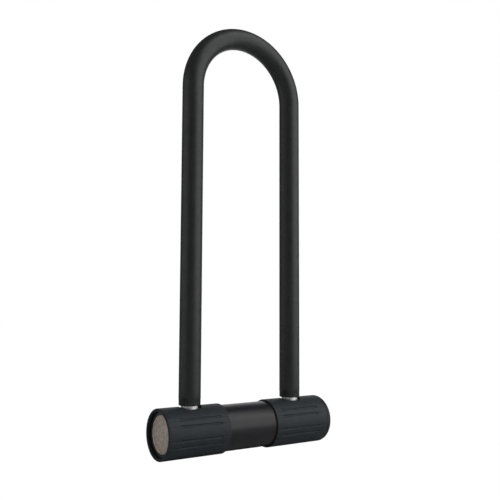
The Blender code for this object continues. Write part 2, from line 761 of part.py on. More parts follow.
def gears():
    thickness = GEAR_ENDS[1] - GEAR_ENDS[0]
    plug_hole = circle(PLUG_TAIL + RUNNING_FIT, 24)
    plug_gear = outline("plug_gear", [gear_loop(PLUG_TEETH, 0.0), plug_hole], thickness, "zinc")
    bar_hole = circle(BAR_JOURNAL + RUNNING_FIT, 16)
    pinion_loop = gear_loop(BAR_TEETH, pi / BAR_TEETH)
    pinion = outline("bar_pinion", [pinion_loop, bar_hole], thickness, "steel")
    place = middle(GEAR_ENDS)
    return facing_x(plug_gear, place), at_bar(facing_x(pinion, place))


def cylinder_housing():
    """The housing is grooved for the sidebar at its front and bottom: both ends of the key's turn."""
    left, right = HOUSING_ENDS
    bore = PLUG_RADIUS + FIT
    floor = left + HOUSING_WALL
    tail = PLUG_TAIL + FIT
    profile = [
        (bore, right), (INSERT_RADIUS, right), (INSERT_RADIUS, left), (tail, left), (tail, floor),
        (bore, floor),
    ]
    housing = along_x(turned("cylinder_housing", profile, "zinc", 36))
    seat_ends = (left - BEYOND / 5, left + SEAT_DEPTH)
    housing = cut(housing, drill_along_x("bar_seat", BAR_JOURNAL + FIT, (BAR_Y, 0), seat_ends))
    half = SIDEBAR_HALF + FIT + RUNNING_FIT / 2
    first = floor + PLUG_FLOOR
    front = box("sidebar_groove", (first, -SIDEBAR_REACH, -half), (DISCS_END, 0.0, half))
    bottom = box("sidebar_groove", (first, -half, -SIDEBAR_REACH), (DISCS_END, half, 0.0))
    housing = cut(housing, front, bottom)
    tip = SCREW_ENDS[0] - 2 * FIT
    for place in SCREW_PLACES:
        thread = drill_along_x("screw_thread", SCREW_RADIUS + FIT, place, (tip, right + BEYOND), 12)
        housing = cut(housing, thread)
    for side in (-1, 1):
        depth = PIN_HEIGHTS[0] - FIT - RUNNING_FIT
        housing = cut(housing, pin_hole("housing_pin_hole", side, depth))
    return housing


def cylinder_pin(name, side):
    low, high = PIN_HEIGHTS
    pin = rod(name, PIN_RADIUS, high - low, "steel", 12)
    pin.location = (PIN_X, 0, side * middle(PIN_HEIGHTS))
    return pin


def plug():
    left, right = PLUG_ENDS
    tail_end = GEAR_ENDS[0] - FIT - RUNNING_FIT
    floor = left + PLUG_FLOOR
    profile = [
        (PLUG_CAVITY, right), (PLUG_RADIUS - EDGE, right), (PLUG_RADIUS, right - EDGE),
        (PLUG_RADIUS, left), (PLUG_TAIL, left), (PLUG_TAIL, tail_end), (0.0, tail_end), (0.0, floor),
        (PLUG_CAVITY, floor),
    ]
    made = along_x(turned("plug", profile, "brass", 32))
    half = SIDEBAR_HALF + 2 * RUNNING_FIT
    low = (floor + FIT, -PLUG_RADIUS - BEYOND, -half)
    high = (DISCS_END - 2 * RUNNING_FIT, 0.0, half)
    return cut(made, box("sidebar_slot", low, high))


def key_slot(count=10):
    """The D-shaped way for the key."""
    first, last = KEY_ARC
    arc = [radians(first + (last - first) * i / count) for i in range(count + 1)]
    return [(KEY_RADIUS * cos(a), KEY_RADIUS * sin(a)) for a in arc]


def notched_loop(radius, half_notch, rise):
    """A disc's edge with a notch at the front, deepest at its middle and rising evenly on both sides."""
    count = 36
    loop = []
    for i in range(count):
        turn = 2 * pi * i / count
        away = min(turn, 2 * pi - turn)
        inside = away < half_notch
        edge = min(radius, NOTCH_FLOOR + rise * away) if inside else radius
        loop.append((-edge * cos(turn), edge * sin(turn)))
    return loop


def detainer_discs():
    rise = SIDEBAR_LIFT / radians(DISC_TURN)
    for i in range(DISC_COUNT):
        loops = [notched_loop(DISC_RADIUS, radians(DISC_TURN), rise), key_slot()]
        disc = outline(f"detainer_disc_{i + 1}", loops, DISC_THICKNESS, "brass")
        facing_x(disc, DISC_FIRST + DISC_THICKNESS / 2 + DISC_PITCH * i)


def disc_spacers():
    gap = DISC_PITCH - DISC_THICKNESS
    for i in range(DISC_COUNT - 1):
        loops = [notched_loop(DISC_RADIUS, radians(SPACER_NOTCH), 0.0), circle(SPACER_BORE, 16)]
        spacer = outline(f"disc_spacer_{i + 1}", loops, gap / 2, "steel")
        facing_x(spacer, DISC_FIRST + DISC_THICKNESS + gap / 2 + DISC_PITCH * i)


def sidebar():
    """A blade in the plug's front slot, clear of the notches' floor and below the plug's surface."""
    inner, outer = SIDEBAR_EDGES
    right = DISCS_END - DISC_THICKNESS + FIT
    low, high = (DISC_FIRST, -outer, -SIDEBAR_HALF), (right, -inner, SIDEBAR_HALF)
    return apply_modifiers(box("sidebar", low, high, "steel", EDGE / 3))


def keyway_plate():
    loops = [circle(PLUG_CAVITY - 2 * RUNNING_FIT, 24), key_slot()]
    plate = outline("keyway_plate", loops, KEYWAY_PLATE, "steel")
    return facing_x(plate, DISCS_END + FIT + RUNNING_FIT)


def plug_clip():
    inner, outer = CLIP_RADII
    profile = [(inner, CLIP_THICKNESS), (outer, CLIP_THICKNESS), (outer, 0.0), (inner, 0.0)]
    clip = turned("plug_clip", profile, "steel", 16)
    return along_x(clip, GEAR_ENDS[1] + FIT + 2 * RUNNING_FIT)


# Shackle ---------------------------------------------------------------------------------------------
def shackle_path(bottom, taper=None):
    """Up the left leg, around the bend and down the right leg, as (place, relative radius)."""
    bend_height = SHACKLE_TOP - COVER_RADIUS - LEG_X
    bend = [pi - pi * i / BEND_STEPS for i in range(BEND_STEPS + 1)]
    points = [((LEG_X * cos(a), 0.0, bend_height + LEG_X * sin(a)), 1.0) for a in bend]
    left = [((-LEG_X, 0.0, bottom), taper or 1.0)]
    right = [((LEG_X, 0.0, bottom), taper or 1.0)]
    if taper:
        left.append(((-LEG_X, 0.0, bottom + FOOT_CHAMFER), 1.0))
        right.insert(0, ((LEG_X, 0.0, bottom + FOOT_CHAMFER), 1.0))
    return left + points + right


def shackle_tube(name, radius, path, finish, caps, resolution):
    curve = bpy.data.curves.new(name, "CURVE")
    curve.dimensions = "3D"
    curve.bevel_depth = radius
    curve.bevel_resolution = resolution
    curve.use_fill_caps = caps
    spline = curve.splines.new("POLY")
    spline.points.add(len(path) - 1)
    for point, (place, share) in zip(spline.points, path):
        point.co = (*place, 1.0)
        point.radius = share
    return apply_modifiers(new_object(name, curve, finish))


def shackle_bar():
    taper = 1 - FOOT_CHAMFER / STEEL_RADIUS
    path = shackle_path(FOOT_BOTTOM, taper)
    bar = shackle_tube("shackle_bar", STEEL_RADIUS, path, "steel", True, 4)
    reach = STEEL_RADIUS + BEYOND
    for side in (-1, 1):
        x = side * LEG_X
        notch = drill_along_x("foot_notch", BAR_RADIUS + FIT, (BAR_Y, 0), (x - reach, x + reach), 32)
        bar = cut(bar, notch)
    return bar


def shackle_cover():
    path = shackle_path(COVER_BOTTOM)
    cover = shackle_tube("shackle_cover", COVER_RADIUS, path, "vinyl", False, 6)
    wall = cover.modifiers.new("Solidify", "SOLIDIFY")
    wall.thickness = COVER_RADIUS - STEEL_RADIUS - FIT
    wall.offset = -1.0
    return smooth(apply_modifiers(cover))


# The whole lock --------------------------------------------------------------------------------------
def crossbar():
    crossbar_tube()
    front, _ = BEZEL_ENDS
    lip = ((LIP_RADIUS, SLEEVE_LEFT), (LIP_RADIUS, front - FIT), (TUBE_RADIUS + FIT, front - FIT))
    left, right = (SLEEVE_LEFT, -SLEEVE_INNER_END), (SLEEVE_INNER_END, TUBE_ENDS[1])
    sleeve("left_sleeve", left, LEFT_SLEEVE_BEVELS, GROOVE_LEFT_ENDS, -LEG_X, lip)
    sleeve("right_sleeve", right, RIGHT_SLEEVE_BEVELS, GROOVE_RIGHT_ENDS, LEG_X)
    for side, x in (("left", -LEG_X), ("right", LEG_X)):
        foot_socket(f"{side}_foot_socket", x)
        wiper_ring(f"{side}_wiper_ring", x)
    for name, x in zip(("left_bar_bearing", "right_bar_bearing"), BEARING_CENTRES):
        bar_bearing(name, x)


def right_end():
    end_cap()
    face_plate()
    dust_cover()
    end_cap_screw("end_cap_screw_front", SCREW_PLACES[0])
    end_cap_screw("end_cap_screw_back", SCREW_PLACES[1])


def left_end():
    bezel_ring()
    badge_disc()
    groove_radius = SPIGOT_RADIUS + O_RING_RADIUS + RUNNING_FIT
    ring("bezel_o_ring", groove_radius, O_RING_RADIUS, O_RING_X, "rubber")
    sounder()


def alarm():
    circuit_board()
    board_parts()
    switch_button()
    switch_cam()
    battery()
    battery_tray()
    battery_contacts()
    wires()


def key_cylinder():
    cylinder_housing()
    cylinder_pin("upper_cylinder_pin", 1)
    cylinder_pin("lower_cylinder_pin", -1)
    plug()
    plug_clip()
    detainer_discs()
    disc_spacers()
    sidebar()
    keyway_plate()


def carry_all():
    """Hangs every piece on one empty, so the world's origin is under the middle of the lock's length."""
    carrier = bpy.data.objects.new("u_lock_frame", None)
    PARTS.objects.link(carrier)
    for obj in [*PARTS.objects, *CUTTERS.objects]:
        if obj is not carrier:
            obj.parent = carrier
    carrier.location = (-middle((SLEEVE_LEFT, END_RIGHT)), 0.0, SLEEVE_RADIUS)


crossbar()
right_end()
left_end()
alarm()
locking_bar()
gears()
key_cylinder()
shackle_bar()
shackle_cover()
carry_all()
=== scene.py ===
import json
from math import cos, hypot, pi, radians, sin

import bmesh
import bpy
from mathutils import Matrix, Vector

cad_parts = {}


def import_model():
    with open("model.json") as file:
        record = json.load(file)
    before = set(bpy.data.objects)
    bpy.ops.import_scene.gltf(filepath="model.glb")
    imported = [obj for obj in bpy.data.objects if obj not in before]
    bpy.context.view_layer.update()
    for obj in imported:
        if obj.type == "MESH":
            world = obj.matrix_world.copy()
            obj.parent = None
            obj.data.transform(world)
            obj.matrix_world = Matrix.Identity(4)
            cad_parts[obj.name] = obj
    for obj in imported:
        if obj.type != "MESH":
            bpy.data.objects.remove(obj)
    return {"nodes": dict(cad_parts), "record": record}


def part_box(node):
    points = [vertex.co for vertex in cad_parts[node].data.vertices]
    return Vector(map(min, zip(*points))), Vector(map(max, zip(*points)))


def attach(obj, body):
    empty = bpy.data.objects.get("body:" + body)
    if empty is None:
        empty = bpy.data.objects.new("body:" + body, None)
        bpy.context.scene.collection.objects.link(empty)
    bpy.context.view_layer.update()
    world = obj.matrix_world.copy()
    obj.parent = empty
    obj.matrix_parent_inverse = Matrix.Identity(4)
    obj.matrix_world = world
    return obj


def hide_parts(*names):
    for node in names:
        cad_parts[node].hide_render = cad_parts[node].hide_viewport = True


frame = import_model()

MM = 0.001
TINY = 1e-6                    # a shorter length, in metres, counts as none
SHARP_ANGLE = radians(32.0)    # edges that turn more than this stay sharp
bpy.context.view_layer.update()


# The lock's own frame: zero is on the crossbar's axis, midway between the feet ------------------------
def world_middle(node):
    low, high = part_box(node)
    return (low + high) / 2


FEET = world_middle("left_foot_socket"), world_middle("right_foot_socket")
HOME = Vector(((FEET[0].x + FEET[1].x) / 2, 0.0, world_middle("crossbar_tube").z))


def box(node):
    """The lowest and highest corner of a CAD node, in the lock's own frame."""
    low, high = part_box(node)
    return low - HOME, high - HOME


def reach(node):
    """The lowest x, the highest x and the radius of a round node that lies along the crossbar."""
    low, high = box(node)
    return low.x, high.x, high.y


# Sizes, read from the frame ---------------------------------------------------------------------------
TUBE_LEFT, TUBE_RIGHT, TUBE_RADIUS = reach("crossbar_tube")
LEFT_END, LEFT_INNER, SLEEVE_RADIUS = reach("left_sleeve")
RIGHT_INNER, RIGHT_END, _ = reach("right_sleeve")
CAP_LEFT, CAP_RIGHT, _ = reach("end_cap")
BEZEL_LEFT, BEZEL_RIGHT, BEZEL_RADIUS = reach("bezel_ring")
BADGE_LEFT, BADGE_RIGHT, BADGE_RADIUS = reach("badge_disc")
PLATE_LEFT, PLATE_RIGHT, PLATE_RADIUS = reach("end_face_plate")
SOCKET_RADIUS = box("right_foot_socket")[1].y
LEG_X = (FEET[1].x - FEET[0].x) / 2
COVER_LOW, COVER_HIGH = box("shackle_cover")
COVER_RADIUS = COVER_HIGH.y
STEEL_LOW, STEEL_HIGH = box("shackle_bar")
STEEL_RADIUS = (STEEL_HIGH.x - STEEL_LOW.x) / 2 - LEG_X
PINION_LOW, PINION_HIGH = box("bar_pinion")
BAR_Y = (PINION_LOW.y + PINION_HIGH.y) / 2
BAR_RADIUS = box("locking_bar")[1].z
FIT = 0.3 * MM                 # gap between neighbouring pieces
BEYOND = 2 * MM                # how far a cutter passes a foot or a socket
FOOT_HOLE = SOCKET_RADIUS + FIT
TUBE_WALL = 3.0 * MM
TUBE_BORE = TUBE_RADIUS - TUBE_WALL
LIP_RADIUS = 18.0 * MM         # opening of the left sleeve's lip


# Building meshes --------------------------------------------------------------------------------------
def piece(name, points, faces, finish):
    """A mesh object with its faces pointing out and one material."""
    mesh = bpy.data.meshes.new(name)
    mesh.from_pydata([tuple(p) for p in points], [], faces)
    bm = bmesh.new()
    bm.from_mesh(mesh)
    bmesh.ops.recalc_face_normals(bm, faces=bm.faces)
    bm.to_mesh(mesh)
    bm.free()
    obj = bpy.data.objects.new(name, mesh)
    bpy.context.scene.collection.objects.link(obj)
    if finish:
        mesh.materials.append(finish)
    return soften(obj)


def soften(obj):
    obj.data.shade_smooth()
    obj.data.set_sharp_from_angle(angle=SHARP_ANGLE)
    return obj


def fillet(corners, radius, steps=4, closed=True):
    """The same outline with each corner rounded to about this radius."""
    made = []
    count = len(corners)
    for i, corner in enumerate(corners):
        if not closed and i in (0, count - 1):
            made.append(corner)
            continue
        here = Vector(corner)
        before = Vector(corners[i - 1]) - here
        after = Vector(corners[(i + 1) % count]) - here
        cut = min(radius, 0.45 * before.length, 0.45 * after.length)
        start = here + before.normalized() * cut
        end = here + after.normalized() * cut
        for k in range(steps + 1):
            t = k / steps
            made.append(tuple(start * (1 - t) ** 2 + here * 2 * t * (1 - t) + end * t * t))
    return made


def arc(along, radius, size, start, end, steps=6):
    """Points of an arc in a profile, from one angle to the other, in degrees."""
    made = []
    for i in range(steps + 1):
        angle = radians(start + (end - start) * i / steps)
        made.append((along + size * cos(angle), radius + size * sin(angle)))
    return made


def loft(name, rings, closed, finish):
    """Joins rings of points in turn. A ring of one point is a pole.

    closed joins the last ring to the first.
    """
    points, starts = [], []
    for ring in rings:
        starts.append((len(points), len(ring)))
        points.extend(ring)
    pairs = list(zip(starts, starts[1:]))
    if closed:
        pairs.append((starts[-1], starts[0]))
    faces = []
    for (a, a_count), (b, b_count) in pairs:
        count = max(a_count, b_count)
        for i in range(count):
            j = (i + 1) % count
            if a_count == 1:
                faces.append((a, b + j, b + i))
            elif b_count == 1:
                faces.append((a + i, a + j, b))
            else:
                faces.append((a + i, a + j, b + j, b + i))
    return piece(name, points, faces, finish)


AXES = {
    "X": (Vector((1, 0, 0)), Vector((0, -1, 0)), Vector((0, 0, 1))),
    "Z": (Vector((0, 0, 1)), Vector((1, 0, 0)), Vector((0, 1, 0))),
}


def even_angles(count):
    return [2 * pi * i / count for i in range(count)]


def lathe(name, profile, finish, axis="X", centre=(0, 0, 0), closed=True, *, angles, shape=None):
    """Turns (distance along the axis, radius) points about the axis.

    shape(distance, radius, angle), where it is given, returns the radius to use there.
    """
    along, first, second = AXES[axis]
    centre = Vector(centre)
    rings = []
    for distance, radius in profile:
        if radius < TINY:
            rings.append([centre + along * distance])
            continue
        ring = []
        for angle in angles:
            r = shape(distance, radius, angle) if shape else radius
            ring.append(centre + along * distance + (first * cos(angle) + second * sin(angle)) * r)
        rings.append(ring)
    return loft(name, rings, closed, finish)


def baked(obj):
    """Applies the object's modifiers."""
    bpy.context.view_layer.update()
    graph = bpy.context.evaluated_depsgraph_get()
    mesh = bpy.data.meshes.new_from_object(obj.evaluated_get(graph), depsgraph=graph)
    obj.modifiers.clear()
    obj.data = mesh
    return soften(obj)


def boolean(obj, tool, operation="DIFFERENCE"):
    """Cuts obj with tool, or joins tool to it, and removes tool."""
    modifier = obj.modifiers.new("Boolean", "BOOLEAN")
    modifier.operation = operation
    modifier.solver = "EXACT"
    modifier.object = tool
    baked(obj)
    bpy.data.objects.remove(tool)


def cylinder_tool(radius, start, end, sides=64):
    start, end = Vector(start), Vector(end)
    bm = bmesh.new()
    bmesh.ops.create_cone(bm, cap_ends=True, segments=sides, radius1=radius, radius2=radius,
                          depth=(end - start).length)
    turn = Vector((0, 0, 1)).rotation_difference(end - start).to_matrix().to_4x4()
    bmesh.ops.transform(bm, matrix=Matrix.Translation((start + end) / 2) @ turn, verts=bm.verts)
    return tool_from(bm)


def box_tool(low, high):
    low, high = Vector(low), Vector(high)
    bm = bmesh.new()
    bmesh.ops.create_cube(bm, size=1.0)
    size = Matrix.Diagonal((*(high - low), 1.0))
    bmesh.ops.transform(bm, matrix=Matrix.Translation((low + high) / 2) @ size, verts=bm.verts)
    return tool_from(bm)


def prism_tool(outline, low_x, high_x):
    """A prism along the crossbar with this (y, z) outline."""
    count = len(outline)
    points = [(x, y, z) for x in (low_x, high_x) for y, z in outline]
    faces = [tuple(range(count)), tuple(range(2 * count - 1, count - 1, -1))]
    faces += [(i, (i + 1) % count, count + (i + 1) % count, count + i) for i in range(count)]
    return piece("tool", points, faces, None)


def tool_from(bm):
    mesh = bpy.data.meshes.new("tool")
    bm.to_mesh(mesh)
    bm.free()
    obj = bpy.data.objects.new("tool", mesh)
    bpy.context.scene.collection.objects.link(obj)
    return obj


# Materials --------------------------------------------------------------------------------------------
class Finish:
    """A Principled material that is built up node by node, in the object's own coordinates."""

    def __init__(self, name, roughness, metallic=0.0, specular=0.5, coat=0.0):
        self.material = bpy.data.materials.new(name)
        self.material.use_nodes = True
        self.tree = self.material.node_tree
        self.shader = self.tree.nodes["Principled BSDF"]
        self.shader.inputs["Roughness"].default_value = roughness
        self.shader.inputs["Metallic"].default_value = metallic
        self.shader.inputs["Specular IOR Level"].default_value = specular
        self.shader.inputs["Coat Weight"].default_value = coat
        self.shader.inputs["Coat Roughness"].default_value = 0.25
        self.place = self.node("ShaderNodeTexCoord").outputs["Object"]
        self.normal = None

    def node(self, kind, **settings):
        made = self.tree.nodes.new(kind)
        for name, value in settings.items():
            setattr(made, name, value)
        return made

    def join(self, output, target):
        self.tree.links.new(output, target)

    def noise(self, size, detail=2.0, stretch=(1, 1, 1), roughness=0.5):
        """Noise with features about size metres across, longer along an axis where stretch is under 1."""
        mapping = self.node("ShaderNodeMapping")
        mapping.inputs["Scale"].default_value = [s / size for s in stretch]
        texture = self.node("ShaderNodeTexNoise")
        texture.inputs["Scale"].default_value = 1.0
        texture.inputs["Detail"].default_value = detail
        texture.inputs["Roughness"].default_value = roughness
        self.join(self.place, mapping.inputs["Vector"])
        self.join(mapping.outputs["Vector"], texture.inputs["Vector"])
        return texture.outputs["Fac"]

    def radius_noise(self, size):
        """Noise that depends only on the distance from the crossbar's axis: turning marks on a flat face."""
        shift = self.node("ShaderNodeVectorMath", operation="SUBTRACT")
        shift.inputs[1].default_value = HOME
        keep = self.node("ShaderNodeVectorMath", operation="MULTIPLY")
        keep.inputs[1].default_value = (0, 1, 1)
        length = self.node("ShaderNodeVectorMath", operation="LENGTH")
        texture = self.node("ShaderNodeTexNoise", noise_dimensions="1D")
        texture.inputs["Scale"].default_value = 1 / size
        texture.inputs["Detail"].default_value = 3.0
        self.join(self.place, shift.inputs[0])
        self.join(shift.outputs["Vector"], keep.inputs[0])
        self.join(keep.outputs["Vector"], length.inputs[0])
        self.join(length.outputs["Value"], texture.inputs["W"])
        return texture.outputs["Fac"]

    def spread(self, value, low, high, at=(0.3, 0.7)):
        """Maps a value from the range at to the range low to high."""
        made = self.node("ShaderNodeMapRange")
        for index, number in enumerate((*at, low, high), start=1):
            made.inputs[index].default_value = number
        self.join(value, made.inputs[0])
        return made.outputs[0]

    def colour(self, first, second, factor):
        """Mixes two colours, each of them fixed or the output of a node."""
        mix = self.node("ShaderNodeMix", data_type="RGBA")
        for index, value in ((6, first), (7, second)):
            if isinstance(value, tuple):
                mix.inputs[index].default_value = (*value, 1.0)
            else:
                self.join(value, mix.inputs[index])
        self.join(factor, mix.inputs[0])
        return mix.outputs[2]

    def bump(self, height, depth, strength):
        """Adds relief, depth metres high."""
        made = self.node("ShaderNodeBump")
        made.inputs["Strength"].default_value = strength
        made.inputs["Distance"].default_value = depth
        self.join(height, made.inputs["Height"])
        if self.normal:
            self.join(self.normal, made.inputs["Normal"])
        self.normal = made.outputs["Normal"]

    def wear(self, low=0.53, high=0.62):
        """How exposed an edge is, from 0 to 1."""
        return self.spread(self.node("ShaderNodeNewGeometry").outputs["Pointiness"], 0.0, 1.0, (low, high))

    def done(self, colour, roughness):
        self.join(colour, self.shader.inputs["Base Color"])
        self.join(roughness, self.shader.inputs["Roughness"])
        self.join(self.normal, self.shader.inputs["Normal"])
        return self.material


def shade(colour, share):
    return tuple(channel * share for channel in colour)


def vinyl():
    """Extruded sheath: satin, with faint marks along the shackle and a soft mottle."""
    f = Finish("black_vinyl", 0.4, specular=0.5)
    base = (0.021, 0.0215, 0.022)
    cloudy = f.noise(9 * MM, 3.0)
    drawn = f.noise(0.7 * MM, 2.0, (1, 1, 0.02))
    colour = f.colour(shade(base, 0.82), shade(base, 1.2), f.spread(cloudy, 0.0, 1.0))
    colour = f.colour(colour, shade(base, 1.35), f.spread(drawn, 0.0, 0.35, (0.55, 0.75)))
    f.bump(drawn, 0.012 * MM, 0.5)
    f.bump(f.noise(0.35 * MM, 2.0), 0.012 * MM, 0.6)
    return f.done(colour, f.spread(f.noise(3 * MM, 4.0), 0.36, 0.50))


def sleeve_plastic():
    """Spark-textured charcoal moulding, a little rubbed along its edges."""
    f = Finish("charcoal_plastic", 0.55, specular=0.42)
    base = (0.0195, 0.0275, 0.0325)
    mottle = f.noise(6 * MM, 4.0)
    grain = f.noise(0.28 * MM, 3.0, roughness=0.6)
    colour = f.colour(shade(base, 0.85), shade(base, 1.15), f.spread(mottle, 0.0, 1.0))
    colour = f.colour(colour, shade(base, 1.5), f.spread(grain, 0.0, 0.30, (0.50, 0.75)))
    colour = f.colour(colour, (0.075, 0.080, 0.084), f.wear())
    f.bump(grain, 0.045 * MM, 0.8)
    return f.done(colour, f.spread(grain, 0.48, 0.66))


def coated_tube():
    """Smooth satin coating over steel, with a slight orange peel."""
    f = Finish("black_coated_tube", 0.34, specular=0.46)
    base = (0.0150, 0.0138, 0.0168)
    peel = f.noise(1.6 * MM, 2.0)
    colour = f.colour(shade(base, 0.9), shade(base, 1.1), f.spread(f.noise(12 * MM, 3.0), 0.0, 1.0))
    f.bump(peel, 0.010 * MM, 0.6)
    return f.done(colour, f.spread(f.noise(2.5 * MM, 4.0), 0.29, 0.38))


def badge_metal():
    """Satin disc with fine turning marks and a warm, uneven tone."""
    f = Finish("satin_badge", 0.38, metallic=0.85)
    base = (0.76, 0.645, 0.56)
    marks = f.radius_noise(0.12 * MM)
    colour = f.colour(shade(base, 0.68), shade(base, 1.15), f.spread(f.noise(3 * MM, 4.0), 0.0, 1.0))
    colour = f.colour(colour, shade(base, 1.3), f.spread(marks, 0.0, 0.5, (0.5, 0.8)))
    f.bump(marks, 0.010 * MM, 0.8)
    return f.done(colour, f.spread(marks, 0.28, 0.46))


def gloss_plastic():
    """Polished black moulding."""
    f = Finish("gloss_black_plastic", 0.2, specular=0.5, coat=0.4)
    base = (0.010, 0.010, 0.0115)
    colour = f.colour(shade(base, 0.8), shade(base, 1.5), f.spread(f.noise(3 * MM, 4.0), 0.0, 1.0))
    f.bump(f.noise(1.0 * MM, 2.0), 0.004 * MM, 0.5)
    return f.done(colour, f.spread(f.noise(0.8 * MM, 5.0), 0.16, 0.30))


def bright_steel():
    """Plated bar: bright and satin, with fine rings from turning and a few dull spots."""
    f = Finish("hardened_steel", 0.12, metallic=1.0)
    rings = f.noise(0.10 * MM, 2.0, (0.03, 0.03, 1))
    spots = f.noise(1.8 * MM, 5.0, roughness=0.65)
    colour = f.colour((0.96, 0.96, 0.95), (0.82, 0.815, 0.80), f.spread(spots, 0.0, 1.0, (0.5, 0.8)))
    f.bump(rings, 0.002 * MM, 0.6)
    return f.done(colour, f.spread(spots, 0.40, 0.52))


def machined(name, colour, low, high, mark=0.15 * MM):
    """Turned or cast metal inside the lock."""
    f = Finish(name, (low + high) / 2, metallic=1.0)
    marks = f.noise(mark, 3.0, (1, 0.15, 0.15))
    stain = f.noise(4 * MM, 4.0)
    tone = f.colour(shade(colour, 0.8), shade(colour, 1.12), f.spread(stain, 0.0, 1.0))
    f.bump(marks, 0.006 * MM, 0.6)
    return f.done(tone, f.spread(marks, low, high))


def moulded(name, colour, low, high, grain=0.4 * MM):
    """Plain moulded plastic, rubber or epoxy."""
    f = Finish(name, (low + high) / 2)
    texture = f.noise(grain, 3.0)
    tone = f.colour(shade(colour, 0.85), shade(colour, 1.2), f.spread(f.noise(3 * MM, 3.0), 0.0, 1.0))
    f.bump(texture, 0.02 * MM, 0.6)
    return f.done(tone, f.spread(texture, low, high))


def circuit_green():
    """Solder mask with copper tracks showing through as lighter lines."""
    f = Finish("green_circuit_board", 0.4, coat=0.3)
    brick = f.node("ShaderNodeTexBrick")
    mapping = f.node("ShaderNodeMapping")
    mapping.inputs["Rotation"].default_value = (0, pi / 2, 0)
    brick.inputs["Scale"].default_value = 180.0
    brick.inputs["Mortar Size"].default_value = 0.04
    f.join(f.place, mapping.inputs["Vector"])
    f.join(mapping.outputs["Vector"], brick.inputs["Vector"])
    tone = f.colour((0.012, 0.110, 0.045), (0.035, 0.200, 0.085), brick.outputs["Fac"])
    f.bump(brick.outputs["Fac"], 0.02 * MM, 0.5)
    return f.done(tone, f.spread(f.noise(1 * MM), 0.32, 0.46))


FINISHES = {
    "vinyl": vinyl(),
    "sleeve_plastic": sleeve_plastic(),
    "coated_tube": coated_tube(),
    "badge": badge_metal(),
    "gloss_plastic": gloss_plastic(),
    "steel": bright_steel(),
    "zinc": machined("die_cast_zinc", (0.36, 0.37, 0.38), 0.34, 0.5),
    "brass": machined("brass", (0.62, 0.45, 0.19), 0.22, 0.4),
    "rubber": moulded("black_rubber", (0.012, 0.012, 0.0125), 0.62, 0.8, 0.3 * MM),
    "acetal": moulded("black_acetal", (0.020, 0.021, 0.022), 0.42, 0.58),
    "epoxy": moulded("black_epoxy", (0.016, 0.016, 0.017), 0.4, 0.6, 0.2 * MM),
    "battery_wrap": moulded("battery_wrap", (0.035, 0.085, 0.20), 0.26, 0.36, 1.5 * MM),
    "red_plastic": moulded("red_plastic", (0.36, 0.02, 0.018), 0.38, 0.5),
    "board": circuit_green(),
}


SLOTS = {row["node"]: row["material_slot"] for row in frame["record"]["subparts"]}


def place(obj, node, body):
    """obj stands for one CAD node and moves with its body."""
    obj.data.transform(Matrix.Translation(HOME))
    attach(obj, body)
    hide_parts(node)


# Cutters that several pieces share --------------------------------------------------------------------
FOOT_HOLE_TOP = 30 * MM


def foot_hole(x):
    """The way for a foot through the crossbar's top."""
    return cylinder_tool(FOOT_HOLE, (x, 0, 0), (x, 0, FOOT_HOLE_TOP), 96)


def bar_passage(x, radius, half_length):
    """The way for the locking bar past the foot at x."""
    return cylinder_tool(radius, (x - half_length, BAR_Y, 0), (x + half_length, BAR_Y, 0))


# Shackle ----------------------------------------------------------------------------------------------
BEND_HEIGHT = COVER_HIGH.z - COVER_RADIUS - LEG_X
LEG_LENGTH = BEND_HEIGHT - COVER_LOW.z
PATH_LENGTH = 2 * LEG_LENGTH + pi * LEG_X
COVER_BORE = STEEL_RADIUS + FIT
BAND_HEIGHT = 4.2 * MM        # moulded band at each end of the cover
BAND_STEP = 0.10 * MM
BAND_LINE = 0.15 * MM         # half width of the line behind the band
BAND_SHOULDER = 0.6 * MM
COVER_LIP = 0.7 * MM          # rounding at the cover's ends
FOOT_CHAMFER = 1.6 * MM
FOOT_EDGE = 0.5 * MM          # rounding of the chamfer's edges
FOOT_END = 6 * MM             # where the plain bar starts
SWEEP_SIDES = 56
LEG_STEPS, BEND_STEPS = 12, 72


def path_point(s):
    """The shackle's centre line and its direction, s metres from the cover's left end."""
    if s <= LEG_LENGTH:
        return Vector((-LEG_X, 0, COVER_LOW.z + s)), Vector((0, 0, 1))
    if s >= PATH_LENGTH - LEG_LENGTH:
        return Vector((LEG_X, 0, COVER_LOW.z + PATH_LENGTH - s)), Vector((0, 0, -1))
    turn = pi - (s - LEG_LENGTH) / LEG_X
    centre = Vector((LEG_X * cos(turn), 0, BEND_HEIGHT + LEG_X * sin(turn)))
    return centre, Vector((sin(turn), 0, -cos(turn)))


def sweep(name, stations, closed, finish):
    """Rings around the shackle's centre line, from (distance along it, radius)."""
    rings = []
    side = Vector((0, -1, 0))
    for s, radius in stations:
        centre, along = path_point(s)
        if radius < TINY:
            rings.append([centre])
            continue
        across = along.cross(side)
        rings.append([centre + (side * cos(a) + across * sin(a)) * radius for a in even_angles(SWEEP_SIDES)])
    return loft(name, rings, closed, finish)


def bend_stations():
    """Distances that follow the legs loosely and the bend closely."""
    first = BAND_HEIGHT * 2
    leg = [first + (LEG_LENGTH - first) * i / LEG_STEPS for i in range(LEG_STEPS)]
    bend = [LEG_LENGTH + pi * LEG_X * i / BEND_STEPS for i in range(BEND_STEPS + 1)]
    return leg + bend + [PATH_LENGTH - s for s in reversed(leg)]


